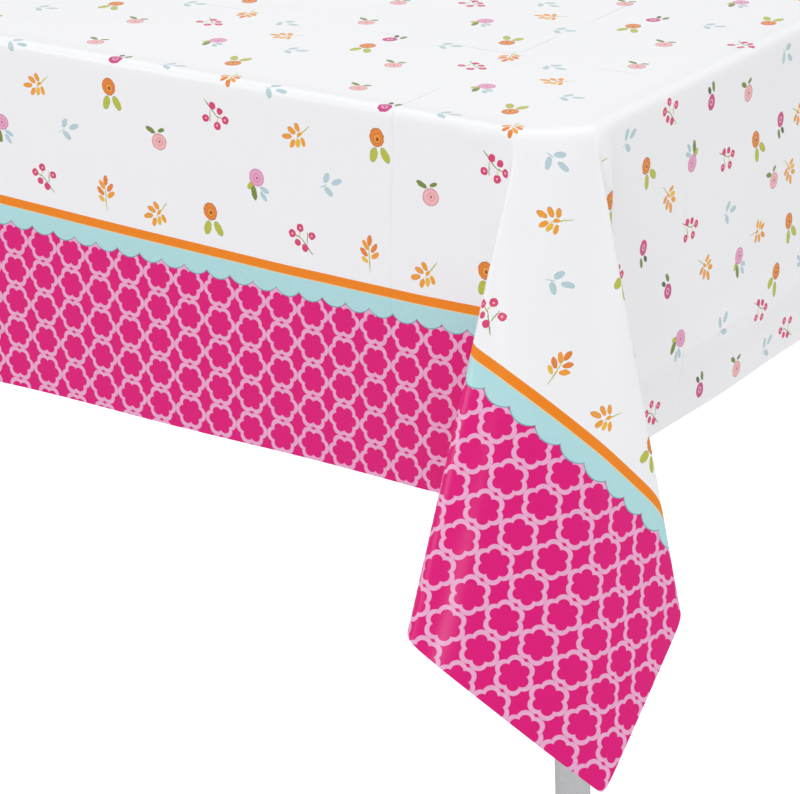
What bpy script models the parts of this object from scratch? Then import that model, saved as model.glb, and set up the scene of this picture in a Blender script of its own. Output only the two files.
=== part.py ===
"""A printed film tablecloth lying over a rectangular folding table.

Metres, +Z up. The origin is on the floor under the middle of the tabletop. X runs along the long sides of the
table. Sides of the table are called front (-Y), back (+Y), left (-X) and right (+X).
"""

import math

import bmesh
import bpy
import numpy as np
from mathutils import Matrix, Vector

# Clearances
GAP = 0.0003  # between pieces that touch
RUNNING_GAP = 0.0004  # radial, between a bolt and what turns on it

# Table
TABLE_LENGTH = 1.600
TABLE_WIDTH = 0.800
TABLE_HEIGHT = 0.750
TABLE_CORNER_RADIUS = 0.080
BOARD_THICKNESS = 0.022
EDGING_THICKNESS = 0.002
CORNER_STEPS = 10

# Tablecloth: how far it hangs, and the flat flap that its corner falls into
CLOTH_THICKNESS = 0.0006
CLOTH_STANDOFF = 0.0008  # between the edging and the hanging cloth
SIDE_DROP = 0.286  # on the long sides
END_DROP = 0.267  # on the short ends
FLAP_START_ON_SIDE = 0.044  # from the table's square corner to the flap's fold on the long side
FLAP_START_ON_END = 0.037  # and on the short end
FLAP_TILT = math.radians(69.0)  # of the flap, from the horizontal
SIDE_FOLD_STRETCH = 1.257  # length of the fold on the long side, over that side's drop
SIDE_FOLD_ANGLE = math.radians(-14.5)  # in the flap's plane, from straight down its slope
END_FOLD_STRETCH = 1.315
END_FOLD_ANGLE = math.radians(8.8)
END_FOLD_SETBACK = 0.055  # of the fold on the short end, behind the flap's plane
TIP_STRETCH = 1.190  # length to the flap's tip, over the diagonal of both drops
TIP_ANGLE = math.radians(5.1)

# Folding leg frames
LEG_RADIUS = 0.014
LEG_WALL = 0.0015
LEG_SPACING = 0.556  # between the centres of the two legs of a frame
PIVOT_INSET = 0.075  # from the end of the table to the pivot
FOOT_INSET = 0.045  # from the end of the table to the foot, so that the legs splay outwards
LEG_ABOVE_PIVOT = 0.012
RAIL_RADIUS = 0.011
RAIL_BELOW_PIVOT = 0.150
TUBE_SIDES = 24

# Rubber foot caps
CAP_WALL = 0.003
CAP_HEIGHT = 0.032
CAP_FLOOR = 0.006
CAP_FLARE = 0.001  # the tread stands out past the wall
CAP_LIP = 0.002  # height of the slope round the cap's mouth
CAP_LIP_WIDTH = 0.001

# Hinge brackets
BRACKET_SHEET = 0.0025
BRACKET_LENGTH = 0.090
CHEEK_LENGTH = 0.050
CHEEK_CLEARANCE = 0.001  # between a cheek and the leg
CHEEK_BELOW_PIVOT = 0.040
FLANGE_WIDTH = 0.020  # of the plate, outside each cheek
PIVOT_BELOW_BOARD = 0.025

# Pivot bolts, stop pins and lock pins
BOLT_RADIUS = 0.004
BOLT_HEAD_RADIUS = 0.0065
BOLT_HEAD_HEIGHT = 0.004
NUT_HEIGHT = 0.0065
PIN_RADIUS = 0.003
PIN_HEAD_RADIUS = 0.005
PIN_HEAD_HEIGHT = 0.0015
PINS_BELOW_PIVOT = 0.030
SLEEVE_RADIUS = 0.006
SLEEVE_LENGTH = 0.008
KNOB_RADIUS = 0.008
KNOB_LENGTH = 0.014
KNOB_BORE_DEPTH = 0.009
FASTENER_SIDES = 16

# Wood screws
SCREW_RADIUS = 0.002
SCREW_LENGTH = 0.016
SCREW_POINT = 0.004
SCREW_HEAD_RADIUS = 0.004
SCREW_HEAD_HEIGHT = 0.0024
SCREW_SLOT_WIDTH = 0.0009
SCREW_SLOT_LENGTH = 0.0045
SCREW_SLOT_DEPTH = 0.0012
SCREW_SIDES = 12

# Edges broken on turned pieces
BOLT_CHAMFER = 0.0008
PIN_CHAMFER = 0.0005
KNOB_CHAMFER = 0.001
KNOB_ROUNDING = 0.002
THREAD_SHOWING = 0.002  # of the pivot bolt, past its nut

# Worked out from the sizes above
BOARD_TOP = TABLE_HEIGHT
BOARD_UNDERSIDE = TABLE_HEIGHT - BOARD_THICKNESS
PLATE_UNDERSIDE = BOARD_UNDERSIDE - GAP - BRACKET_SHEET
PIVOT_Z = BOARD_UNDERSIDE - PIVOT_BELOW_BOARD
PIVOT_X = TABLE_LENGTH / 2 - PIVOT_INSET
CHEEK_FACE = LEG_RADIUS + CHEEK_CLEARANCE  # a cheek's inner face, from the leg's centre plane
CHEEK_BACK = CHEEK_FACE + BRACKET_SHEET
SPLAY = math.atan2(PIVOT_INSET - FOOT_INSET, PIVOT_Z)
LEG_LENGTH = PIVOT_Z / math.cos(SPLAY)  # along the leg, from the pivot to the floor
PIN_OFFSET = LEG_RADIUS + PIN_RADIUS + 2 * GAP  # of a pin, from the leg's axis
ENDS = {"left": -1, "right": 1}
SIDES = {"front": -1, "back": 1}


def clear_scene():
    for obj in list(bpy.data.objects):
        bpy.data.objects.remove(obj, do_unlink=True)


def material(name, colour, roughness, metallic=0.0):
    made = bpy.data.materials.new(name)
    made.use_nodes = True
    shader = made.node_tree.nodes["Principled BSDF"]
    shader.inputs["Base Color"].default_value = (*colour, 1.0)
    shader.inputs["Roughness"].default_value = roughness
    shader.inputs["Metallic"].default_value = metallic
    made.diffuse_color = (*colour, 1.0)
    return made


def add_object(name, mesh, finish, location=(0, 0, 0), parent=None, smooth=True):
    obj = bpy.data.objects.new(name, mesh)
    bpy.context.scene.collection.objects.link(obj)
    obj.location = location
    obj.parent = parent
    if not mesh.materials:
        mesh.materials.append(finish)
    if smooth:
        mesh.shade_smooth()
        mesh.set_sharp_from_angle(angle=math.radians(35))
    return obj


def add_empty(name, location, turn_about_y=0.0):
    empty = bpy.data.objects.new(name, None)
    bpy.context.scene.collection.objects.link(empty)
    empty.location = location
    empty.rotation_euler = (0, turn_about_y, 0)
    return empty


def add_cutter(name, mesh, location=(0, 0, 0), parent=None):
    cutter = bpy.data.objects.new(name, mesh)
    bpy.context.scene.collection.objects.link(cutter)
    cutter.location = location
    cutter.parent = parent
    cutter.hide_render = True
    cutter.display_type = "WIRE"
    return cutter


def boolean(obj, other, operation="DIFFERENCE"):
    modifier = obj.modifiers.new(operation.title() + " " + other.name, "BOOLEAN")
    modifier.operation = operation
    modifier.solver = "EXACT"
    modifier.object = other


def mesh_from(bm, name):
    bmesh.ops.recalc_face_normals(bm, faces=bm.faces)
    mesh = bpy.data.meshes.new(name)
    bm.to_mesh(mesh)
    bm.free()
    return mesh


def turned(name, profile, sides, axis="Z"):
    """A closed solid turned about an axis through the origin. The profile is a closed loop of (radius, height)."""
    bm = bmesh.new()
    rings = []
    for radius, height in profile:
        if radius == 0:
            rings.append([bm.verts.new((0, 0, height))])
            continue
        ring = []
        for step in range(sides):
            angle = 2 * math.pi * step / sides
            ring.append(bm.verts.new((radius * math.cos(angle), radius * math.sin(angle), height)))
        rings.append(ring)
    for lower, upper in zip(rings, rings[1:] + rings[:1]):
        if len(lower) == 1 and len(upper) == 1:
            continue
        for step in range(sides):
            after = (step + 1) % sides
            corners = [lower[step % len(lower)], lower[after % len(lower)]]
            corners += [upper[after % len(upper)], upper[step % len(upper)]]
            bm.faces.new(list(dict.fromkeys(corners)))
    if axis == "Y":
        bm.transform(Matrix.Rotation(math.radians(90), 4, "X"))
    return mesh_from(bm, name)


def prism(name, outline, low, high):
    """An outline in X and Y, drawn up from one height to another."""
    bm = bmesh.new()
    base = bm.faces.new([bm.verts.new((x, y, low)) for x, y in outline])
    drawn = bmesh.ops.extrude_face_region(bm, geom=[base])["geom"]
    moved = [item for item in drawn if isinstance(item, bmesh.types.BMVert)]
    bmesh.ops.translate(bm, verts=moved, vec=(0, 0, high - low))
    return mesh_from(bm, name)


def rounded_rectangle(length, width, radius, steps):
    points = []
    corners = ((1, 1, 0), (-1, 1, 90), (-1, -1, 180), (1, -1, 270))
    for sign_x, sign_y, start in corners:
        centre = Vector((sign_x * (length / 2 - radius), sign_y * (width / 2 - radius)))
        for step in range(steps + 1):
            angle = math.radians(start + 90 * step / steps)
            points.append(centre + radius * Vector((math.cos(angle), math.sin(angle))))
    return points


def block(name, low, high):
    outline = ((low[0], low[1]), (high[0], low[1]), (high[0], high[1]), (low[0], high[1]))
    return prism(name, outline, low[2], high[2])


# Tabletop


def bracket_screw_places():
    """Where the four screws of a bracket go, from the bracket's pivot, in X and Y."""
    along = BRACKET_LENGTH / 2 - FLANGE_WIDTH / 2
    across = CHEEK_BACK + FLANGE_WIDTH / 2
    return [(x, y) for x in (-along, along) for y in (-across, across)]


def make_tabletop(white, edge_white):
    inset = 2 * (EDGING_THICKNESS + GAP)
    board_outline = rounded_rectangle(
        TABLE_LENGTH - inset, TABLE_WIDTH - inset, TABLE_CORNER_RADIUS - inset / 2, CORNER_STEPS
    )
    board = prism("tabletop", board_outline, BOARD_UNDERSIDE, BOARD_TOP)
    tabletop = add_object("tabletop", board, white, smooth=False)
    depth = SCREW_LENGTH - BRACKET_SHEET + GAP
    hole = turned(
        "pilot_hole",
        [(0, -0.001), (SCREW_RADIUS + GAP, -0.001), (SCREW_RADIUS + GAP, depth), (0, depth)],
        SCREW_SIDES,
    )
    for place in hinge_places():
        for x, y in bracket_screw_places():
            at = (place[0] + x, place[1] + y, BOARD_UNDERSIDE)
            boolean(tabletop, add_cutter("pilot_hole_cutter", hole, at))

    outer = rounded_rectangle(TABLE_LENGTH, TABLE_WIDTH, TABLE_CORNER_RADIUS, CORNER_STEPS)
    inner = rounded_rectangle(
        TABLE_LENGTH - 2 * EDGING_THICKNESS,
        TABLE_WIDTH - 2 * EDGING_THICKNESS,
        TABLE_CORNER_RADIUS - EDGING_THICKNESS,
        CORNER_STEPS,
    )
    bm = bmesh.new()
    rings = []
    for outline, height in (
        (outer, BOARD_UNDERSIDE),
        (outer, BOARD_TOP),
        (inner, BOARD_TOP),
        (inner, BOARD_UNDERSIDE),
    ):
        rings.append([bm.verts.new((x, y, height)) for x, y in outline])
    for lower, upper in zip(rings, rings[1:] + rings[:1]):
        for step in range(len(lower)):
            after = (step + 1) % len(lower)
            bm.faces.new((lower[step], lower[after], upper[after], upper[step]))
    add_object("tabletop_edging", mesh_from(bm, "tabletop_edging"), edge_white)


# Hinges


def hinge_places():
    """The four pivots, as (x, y)."""
    return [(end * PIVOT_X, side * LEG_SPACING / 2) for end in ENDS.values() for side in SIDES.values()]


def bracket_mesh():
    """A bent sheet: a plate with two cheeks hanging from it, on the leg's centre plane, pivot at the origin."""
    plate_top = PIVOT_BELOW_BOARD - GAP
    plate_low = plate_top - BRACKET_SHEET
    half = CHEEK_BACK + FLANGE_WIDTH
    section = [
        (-half, plate_top),
        (-half, plate_low),
        (-CHEEK_BACK, plate_low),
        (-CHEEK_BACK, -CHEEK_BELOW_PIVOT),
        (-CHEEK_FACE, -CHEEK_BELOW_PIVOT),
        (-CHEEK_FACE, plate_low),
        (CHEEK_FACE, plate_low),
        (CHEEK_FACE, -CHEEK_BELOW_PIVOT),
        (CHEEK_BACK, -CHEEK_BELOW_PIVOT),
        (CHEEK_BACK, plate_low),
        (half, plate_low),
        (half, plate_top),
    ]
    bm = bmesh.new()
    base = bm.faces.new([bm.verts.new((-BRACKET_LENGTH / 2, y, z)) for y, z in section])
    drawn = bmesh.ops.extrude_face_region(bm, geom=[base])["geom"]
    moved = [item for item in drawn if isinstance(item, bmesh.types.BMVert)]
    bmesh.ops.translate(bm, verts=moved, vec=(BRACKET_LENGTH, 0, 0))
    return mesh_from(bm, "hinge_bracket")


def make_bracket(name, pivot, end, side, meshes, steel):
    bracket = add_object(name, meshes["bracket"].copy(), steel, pivot, smooth=False)
    for cutter in ("cheek_trim_inner", "cheek_trim_outer", "bolt_hole"):
        boolean(bracket, add_cutter(name + "_" + cutter, meshes[cutter], pivot))
    stop = pin_place(pivot, end)
    boolean(bracket, add_cutter(name + "_stop_hole", meshes["pin_hole"], stop))
    lock = lock_place(pivot, end, side)
    boolean(bracket, add_cutter(name + "_lock_hole", meshes["lock_hole"], lock))
    for x, y in bracket_screw_places():
        at = (pivot[0] + x, pivot[1] + y, PLATE_UNDERSIDE)
        boolean(bracket, add_cutter(name + "_screw_hole", meshes["screw_hole"], at))


def pin_place(pivot, end, towards=1):
    """Where a pin lies along a leg: on its outer side, or on its inner side with towards = -1."""
    down = Vector((end * math.sin(SPLAY), 0, -math.cos(SPLAY)))
    out = Vector((end * math.cos(SPLAY), 0, math.sin(SPLAY)))
    return Vector(pivot) + down * PINS_BELOW_PIVOT + out * towards * PIN_OFFSET


def lock_place(pivot, end, side):
    """Where a lock pin is, on the inner side of the leg, level with the inner face of the outer cheek."""
    return pin_place(pivot, end, -1) + Vector((0, side * CHEEK_FACE, 0))


def hinge_meshes():
    over = 0.01
    trim = BRACKET_LENGTH
    low = -CHEEK_BELOW_PIVOT - over
    high = PIVOT_BELOW_BOARD - GAP - BRACKET_SHEET
    wide = CHEEK_BACK + over / 2
    bolt_head_at = CHEEK_BACK + GAP
    bolt_end = -(CHEEK_BACK + GAP + NUT_HEIGHT + THREAD_SHOWING)
    pin_head_at = CHEEK_BACK + GAP
    pin_hole = PIN_RADIUS + GAP
    hole_reach = CHEEK_BACK + over / 2
    bolt_hole = BOLT_RADIUS + RUNNING_GAP
    sleeve_at = BRACKET_SHEET + GAP
    knob_at = sleeve_at + SLEEVE_LENGTH + GAP
    bore_end = knob_at + KNOB_BORE_DEPTH
    nose = RUNNING_GAP - CHEEK_CLEARANCE
    bracket = bracket_mesh()
    meshes = {
        "bracket": bracket,
        "cheek_trim_inner": block("cheek_trim", (-trim, -wide, low), (-CHEEK_LENGTH / 2, wide, high)),
        "cheek_trim_outer": block("cheek_trim", (CHEEK_LENGTH / 2, -wide, low), (trim, wide, high)),
        "bolt_hole": turned(
            "bolt_hole",
            [(0, -hole_reach), (bolt_hole, -hole_reach), (bolt_hole, hole_reach), (0, hole_reach)],
            FASTENER_SIDES,
            "Y",
        ),
        "pin_hole": turned(
            "pin_hole",
            [(0, -hole_reach), (pin_hole, -hole_reach), (pin_hole, hole_reach), (0, hole_reach)],
            FASTENER_SIDES,
            "Y",
        ),
        "lock_hole": turned(
            "lock_hole",
            [(0, -over / 2), (pin_hole, -over / 2), (pin_hole, over / 2), (0, over / 2)],
            FASTENER_SIDES,
            "Y",
        ),
        "screw_hole": turned(
            "screw_hole",
            [(0, -over), (SCREW_RADIUS + GAP, -over), (SCREW_RADIUS + GAP, over), (0, over)],
            SCREW_SIDES,
        ),
        # The bolt's head is on -Y of the leg, because a turn to Y takes height to -Y.
        "bolt": turned(
            "pivot_bolt",
            [
                (0, bolt_end),
                (BOLT_RADIUS - BOLT_CHAMFER, bolt_end),
                (BOLT_RADIUS, bolt_end + BOLT_CHAMFER),
                (BOLT_RADIUS, bolt_head_at),
                (BOLT_HEAD_RADIUS, bolt_head_at),
                (BOLT_HEAD_RADIUS, bolt_head_at + BOLT_HEAD_HEIGHT - BOLT_CHAMFER),
                (BOLT_HEAD_RADIUS - BOLT_CHAMFER, bolt_head_at + BOLT_HEAD_HEIGHT),
                (0, bolt_head_at + BOLT_HEAD_HEIGHT),
            ],
            FASTENER_SIDES,
            "Y",
        ),
        "nut": turned(
            "pivot_nut",
            [
                (BOLT_RADIUS + GAP, -(CHEEK_BACK + GAP)),
                (BOLT_HEAD_RADIUS, -(CHEEK_BACK + GAP)),
                (BOLT_HEAD_RADIUS, -(CHEEK_BACK + GAP + NUT_HEIGHT)),
                (BOLT_RADIUS + GAP, -(CHEEK_BACK + GAP + NUT_HEIGHT)),
            ],
            FASTENER_SIDES,
            "Y",
        ),
        "stop_pin": turned(
            "stop_pin",
            [
                (0, -(pin_head_at + PIN_HEAD_HEIGHT)),
                (PIN_RADIUS, -(pin_head_at + PIN_HEAD_HEIGHT)),
                (PIN_RADIUS, pin_head_at),
                (PIN_HEAD_RADIUS, pin_head_at),
                (PIN_HEAD_RADIUS - PIN_CHAMFER, pin_head_at + PIN_HEAD_HEIGHT),
                (0, pin_head_at + PIN_HEAD_HEIGHT),
            ],
            FASTENER_SIDES,
            "Y",
        ),
        # The nose stops just clear of the leg's side, and the sleeve and knob are outside the cheek.
        "lock_pin": turned(
            "lock_pin",
            [
                (0, nose),
                (PIN_RADIUS - PIN_CHAMFER, nose),
                (PIN_RADIUS, nose + PIN_CHAMFER),
                (PIN_RADIUS, bore_end - GAP),
                (0, bore_end - GAP),
            ],
            FASTENER_SIDES,
            "Y",
        ),
        "lock_sleeve": turned(
            "lock_sleeve",
            [
                (PIN_RADIUS + RUNNING_GAP, sleeve_at),
                (SLEEVE_RADIUS, sleeve_at),
                (SLEEVE_RADIUS, sleeve_at + SLEEVE_LENGTH),
                (PIN_RADIUS + RUNNING_GAP, sleeve_at + SLEEVE_LENGTH),
            ],
            FASTENER_SIDES,
            "Y",
        ),
        "lock_knob": turned(
            "lock_knob",
            [
                (PIN_RADIUS + GAP, knob_at),
                (KNOB_RADIUS - KNOB_CHAMFER, knob_at),
                (KNOB_RADIUS, knob_at + KNOB_CHAMFER),
                (KNOB_RADIUS, knob_at + KNOB_LENGTH - KNOB_ROUNDING),
                (KNOB_RADIUS - KNOB_ROUNDING, knob_at + KNOB_LENGTH),
                (0, knob_at + KNOB_LENGTH),
                (0, bore_end),
                (PIN_RADIUS + GAP, bore_end),
            ],
            FASTENER_SIDES,
            "Y",
        ),
        "screw": turned(
            "wood_screw",
            [
                (0, SCREW_LENGTH),
                (SCREW_RADIUS, SCREW_LENGTH - SCREW_POINT),
                (SCREW_RADIUS, -GAP),
                (SCREW_HEAD_RADIUS, -GAP),
                (SCREW_HEAD_RADIUS * 0.92, -GAP - SCREW_HEAD_HEIGHT * 0.55),
                (SCREW_HEAD_RADIUS * 0.62, -GAP - SCREW_HEAD_HEIGHT * 0.92),
                (0, -GAP - SCREW_HEAD_HEIGHT),
            ],
            SCREW_SIDES,
        ),
    }
    return meshes


def make_screws(name, pivot, meshes, steel):
    slot_low = -GAP - SCREW_HEAD_HEIGHT - 0.001
    slot_high = -GAP - SCREW_HEAD_HEIGHT + SCREW_SLOT_DEPTH
    long, wide = SCREW_SLOT_LENGTH / 2, SCREW_SLOT_WIDTH / 2
    along = block("slot", (-long, -wide, slot_low), (long, wide, slot_high))
    across = block("slot", (-wide, -long, slot_low - 0.0002), (wide, long, slot_high - 0.0001))
    for number, (x, y) in enumerate(bracket_screw_places(), 1):
        at = (pivot[0] + x, pivot[1] + y, PLATE_UNDERSIDE)
        screw = add_object(f"{name}_screw_{number}", meshes["screw"], steel, at)
        for slot in (along, across):
            boolean(screw, add_cutter(f"{name}_slot_{number}", slot, at))


def make_hinges(steel, bright, knob):
    meshes = hinge_meshes()
    for end_name, end in ENDS.items():
        for side_name, side in SIDES.items():
            pivot = (end * PIVOT_X, side * LEG_SPACING / 2, PIVOT_Z)
            where = f"{side_name}_{end_name}"
            make_bracket(f"hinge_bracket_{where}", pivot, end, side, meshes, steel)
            make_screws(f"bracket_{where}", pivot, meshes, bright)
            bolt = add_object(f"pivot_bolt_{where}", meshes["bolt"], bright, pivot)
            nut = add_object(f"pivot_nut_{where}", meshes["nut"], bright, pivot)
            stop = add_object(f"stop_pin_{where}", meshes["stop_pin"], bright, pin_place(pivot, end))
            lock_at = lock_place(pivot, end, side)
            lock = add_object(f"lock_pin_{where}", meshes["lock_pin"], bright, lock_at)
            sleeve = add_object(f"lock_sleeve_{where}", meshes["lock_sleeve"], steel, lock_at)
            cover = add_object(f"lock_knob_{where}", meshes["lock_knob"], knob, lock_at)
            # Heads and knobs face outwards, away from the middle of the frame.
            if side > 0:
                for piece in (bolt, nut, stop, lock, sleeve, cover):
                    piece.rotation_euler = (0, 0, math.pi)


# Leg frames


def cap_mesh():
    """A rubber cap along a leg that comes down on the floor, with its tread level. Leg axis down -Z, pivot at 0."""
    bore = LEG_RADIUS + GAP
    outer = bore + CAP_WALL
    floor = -LEG_LENGTH
    top = floor + CAP_HEIGHT
    return turned(
        "foot_cap",
        [
            (0, floor),
            (outer + CAP_FLARE, floor),
            (outer, top - CAP_LIP),
            (outer - CAP_LIP_WIDTH, top),
            (bore, top),
            (bore, floor + CAP_FLOOR),
            (0, floor + CAP_FLOOR),
        ],
        TUBE_SIDES,
    )


def level_tread(mesh, turn):
    """Brings the tread's points down to the floor, along Z, in the frame that the splay turns."""
    to_world = Matrix.Translation((0, 0, PIVOT_Z)) @ Matrix.Rotation(turn, 4, "Y")
    to_local = to_world.inverted()
    lowest = min(vertex.co.z for vertex in mesh.vertices)
    for vertex in mesh.vertices:
        if vertex.co.z < lowest + 0.0001:
            world = to_world @ vertex.co
            world.z = 0
            vertex.co = to_local @ world


def make_leg_frame(end_name, end, painted, rubber):
    turn = -end * SPLAY
    frame = add_empty(f"leg_frame_{end_name}", (end * PIVOT_X, 0, PIVOT_Z), turn)
    low = -LEG_LENGTH + CAP_FLOOR + GAP
    inside = LEG_RADIUS - LEG_WALL
    tube = [(inside, low), (LEG_RADIUS, low), (LEG_RADIUS, LEG_ABOVE_PIVOT), (inside, LEG_ABOVE_PIVOT)]
    reach = 2 * LEG_RADIUS
    hole = BOLT_RADIUS + RUNNING_GAP
    hole_mesh = turned(
        "leg_bolt_hole", [(0, -reach), (hole, -reach), (hole, reach), (0, reach)], FASTENER_SIDES, "Y"
    )
    cap = cap_mesh()
    level_tread(cap, turn)
    for side_name, side in SIDES.items():
        at = (0, side * LEG_SPACING / 2, 0)
        leg = add_object(
            f"leg_{side_name}_{end_name}", turned("leg", tube, TUBE_SIDES), painted, at, frame
        )
        boolean(leg, add_cutter(f"leg_hole_{side_name}_{end_name}", hole_mesh, at, frame))
        add_object(f"foot_cap_{side_name}_{end_name}", cap, rubber, at, frame)

    half = LEG_SPACING / 2 - LEG_RADIUS - GAP
    rail_inside = RAIL_RADIUS - LEG_WALL
    rail = [(rail_inside, -half), (RAIL_RADIUS, -half), (RAIL_RADIUS, half), (rail_inside, half)]
    rail_mesh = turned("cross_rail", rail, TUBE_SIDES, "Y")
    add_object(f"cross_rail_{end_name}", rail_mesh, painted, (0, 0, -RAIL_BELOW_PIVOT), frame)


# Tablecloth


def flap_points(end, side):
    """The cloth's points round one corner, from the long side's hem to the short end's."""
    reach_x = end * (TABLE_LENGTH / 2 + CLOTH_STANDOFF)
    reach_y = side * (TABLE_WIDTH / 2 + CLOTH_STANDOFF)
    top = BOARD_TOP + GAP
    on_side = Vector((reach_x - end * FLAP_START_ON_SIDE, reach_y, top))
    on_end = Vector((reach_x, reach_y - side * FLAP_START_ON_END, top))
    chord = (on_end - on_side).normalized()
    out = Vector((end * abs(chord.y), side * abs(chord.x), 0))
    down = Vector((0, 0, -1))
    slope = out * math.cos(FLAP_TILT) + down * math.sin(FLAP_TILT)
    behind = -(out * math.sin(FLAP_TILT) - down * math.cos(FLAP_TILT))

    def on_flap(start, length, angle):
        return start + length * (chord * math.sin(angle) + slope * math.cos(angle))

    return {
        "on_side": on_side,
        "side_hem": on_side + down * SIDE_DROP,
        "side_fold": on_flap(on_side, SIDE_DROP * SIDE_FOLD_STRETCH, SIDE_FOLD_ANGLE),
        "tip": on_flap(on_side, math.hypot(SIDE_DROP, END_DROP) * TIP_STRETCH, TIP_ANGLE),
        "end_fold": on_flap(on_end, END_DROP * END_FOLD_STRETCH, END_FOLD_ANGLE) + behind * END_FOLD_SETBACK,
        "end_hem": on_end + down * END_DROP,
        "on_end": on_end,
    }


def make_tablecloth(film):
    bm = bmesh.new()
    corner = {}
    for end in ENDS.values():
        for side in SIDES.values():
            points = flap_points(end, side)
            corner[end, side] = {name: bm.verts.new(point) for name, point in points.items()}
    around = ((1, -1), (1, 1), (-1, 1), (-1, -1))
    top = []
    for place in around:
        pair = [corner[place]["on_side"], corner[place]["on_end"]]
        top += pair if place in ((1, -1), (-1, 1)) else pair[::-1]
        flap = corner[place]
        bm.faces.new((flap["on_side"], flap["side_hem"], flap["side_fold"]))
        bm.faces.new((flap["on_side"], flap["side_fold"], flap["tip"], flap["on_end"]))
        bm.faces.new((flap["on_end"], flap["tip"], flap["end_fold"]))
        bm.faces.new((flap["on_end"], flap["end_fold"], flap["end_hem"]))
    bm.faces.new(top)
    for side in SIDES.values():
        left, right = corner[-1, side], corner[1, side]
        bm.faces.new((left["on_side"], right["on_side"], right["side_hem"], left["side_hem"]))
    for end in ENDS.values():
        front, back = corner[end, -1], corner[end, 1]
        bm.faces.new((front["on_end"], back["on_end"], back["end_hem"], front["end_hem"]))
    bmesh.ops.recalc_face_normals(bm, faces=bm.faces)
    bm.normal_update()
    if max(bm.faces, key=lambda face: face.calc_area()).normal.z < 0:
        bmesh.ops.reverse_faces(bm, faces=bm.faces)
    give_thickness(bm, CLOTH_THICKNESS)
    add_object("tablecloth", mesh_from(bm, "tablecloth"), film, smooth=False)


def give_thickness(bm, thickness):
    """Makes an open sheet of flat faces a closed shell, with its outer side that far out from every face."""
    inner_faces = list(bm.faces)
    rim = [edge for edge in bm.edges if edge.is_boundary]
    outer = {}
    for vertex in list(bm.verts):
        normals = np.array([face.normal for face in vertex.link_faces])
        offset = np.linalg.lstsq(normals, np.full(len(normals), thickness), rcond=0.05)[0]
        outer[vertex] = bm.verts.new(vertex.co + Vector(offset))
    for edge in rim:
        first, second = edge.verts
        bm.faces.new((first, second, outer[second], outer[first]))
    for face in inner_faces:
        bm.faces.new([outer[vertex] for vertex in face.verts])


def main():
    clear_scene()
    film = material("printed film", (0.88, 0.86, 0.88), 0.28)
    board_white = material("white laminate", (0.84, 0.84, 0.83), 0.45)
    edge_white = material("white edging", (0.80, 0.80, 0.79), 0.40)
    painted = material("grey painted tube", (0.62, 0.63, 0.64), 0.35, 0.2)
    zinc = material("zinc plated sheet", (0.60, 0.61, 0.62), 0.35, 1.0)
    bright = material("bright steel", (0.68, 0.68, 0.69), 0.28, 1.0)
    knob = material("black knob", (0.03, 0.03, 0.03), 0.5)
    rubber = material("grey rubber", (0.16, 0.16, 0.17), 0.8)
    make_tabletop(board_white, edge_white)
    make_hinges(zinc, bright, knob)
    for end_name, end in ENDS.items():
        make_leg_frame(end_name, end, painted, rubber)
    make_tablecloth(film)


main()
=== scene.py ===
"""A printed film tablecloth draped over a folding table, ready to render."""

import math

import bpy
import numpy as np
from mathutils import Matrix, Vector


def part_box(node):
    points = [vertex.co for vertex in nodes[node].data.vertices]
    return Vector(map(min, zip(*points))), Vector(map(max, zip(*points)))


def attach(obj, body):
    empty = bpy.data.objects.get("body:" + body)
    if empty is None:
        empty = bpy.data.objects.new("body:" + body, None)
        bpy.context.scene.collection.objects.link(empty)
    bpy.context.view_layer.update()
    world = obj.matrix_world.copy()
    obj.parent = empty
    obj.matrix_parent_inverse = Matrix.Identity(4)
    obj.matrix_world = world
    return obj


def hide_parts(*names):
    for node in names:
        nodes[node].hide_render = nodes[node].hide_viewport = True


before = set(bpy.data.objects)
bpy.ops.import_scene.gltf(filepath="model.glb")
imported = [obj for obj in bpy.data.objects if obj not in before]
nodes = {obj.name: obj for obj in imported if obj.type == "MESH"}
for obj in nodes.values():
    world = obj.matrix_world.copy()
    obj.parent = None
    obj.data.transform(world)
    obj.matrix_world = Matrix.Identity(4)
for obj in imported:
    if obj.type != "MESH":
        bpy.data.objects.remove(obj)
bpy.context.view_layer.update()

# ---------------------------------------------------------------- sizes, in metres
edge_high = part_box("tabletop_edging")[1]
STANDOFF = 0.0028  # of the film from the board's rim
HALF_LENGTH = edge_high.x + STANDOFF
HALF_WIDTH = edge_high.y + STANDOFF
TOP = edge_high.z + 0.0006
SIDE_DROP = 0.286
END_DROP = 0.267
FLAP_START_ON_SIDE = 0.044
FLAP_START_ON_END = 0.037
FLAP_TILT = math.radians(69)
TURN_AWAY = np.array([-0.441, -0.811, -0.383])  # the way the flap's slack edge falls back
TURN_REACH = 0.056
ROLL_WIDTH, ROLL_RADIUS = 0.045, 0.060  # of the roll along the flap's long-side fold
FLAP_REACH = 0.346  # down the flap to its slack edge's end
EDGE_ROLL = 0.0078  # how far the film bends away on each side of a fold
EDGE_LIFT = 0.0018  # the film stands a little proud over the board's rim
FINE, COARSE = 0.007, 0.021  # cells near the corners, and over the middle
FLAT_LENGTH, FLAT_WIDTH = 2.134, 1.372
FOLD_LINES = (0.657, 0.220, -0.215, -0.650)  # along the cover, where it was pressed flat in its pack
FOLD_LINE_ASIDE = 0.228  # the same across it, on both sides of the middle
SETTLE_FRAMES, SETTLE_LIMIT = 14, 0.006


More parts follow.
